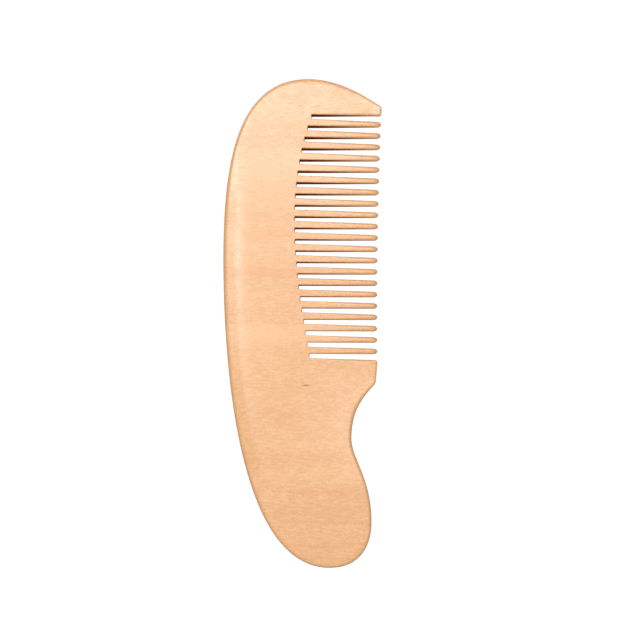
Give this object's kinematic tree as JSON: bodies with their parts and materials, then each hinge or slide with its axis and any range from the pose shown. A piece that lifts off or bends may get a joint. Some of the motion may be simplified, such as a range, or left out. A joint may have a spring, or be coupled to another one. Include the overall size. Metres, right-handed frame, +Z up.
{
  "type": "hair comb",
  "caption": "Flat wooden hair comb with a curved back, a single row of tapered teeth between two guards, and a rounded grip with a finger notch.",
  "frame": {"origin": "under the middle of the comb, on the surface that it lies on", "axes": "+Z up through the comb's thickness, +Y along the comb from the grip to the head, +X from the spine towards the tooth tips"},
  "size_m": [0.0496, 0.155, 0.009],
  "materials": {
    "wood": "satin"
  },
  "bodies": {
    "root": {"back": "wood", "handle": "wood", "head_guard": "wood", "heel_guard": "wood", "tooth_01": "wood", "tooth_02": "wood", "tooth_03": "wood", "tooth_04": "wood", "tooth_05": "wood", "tooth_06": "wood", "tooth_07": "wood", "tooth_08": "wood", "tooth_09": "wood", "tooth_10": "wood", "tooth_11": "wood", "tooth_12": "wood", "tooth_13": "wood", "tooth_14": "wood", "tooth_15": "wood", "tooth_16": "wood", "tooth_17": "wood", "tooth_18": "wood", "tooth_19": "wood", "tooth_20": "wood", "tooth_21": "wood"}
  },
  "joints": []
}
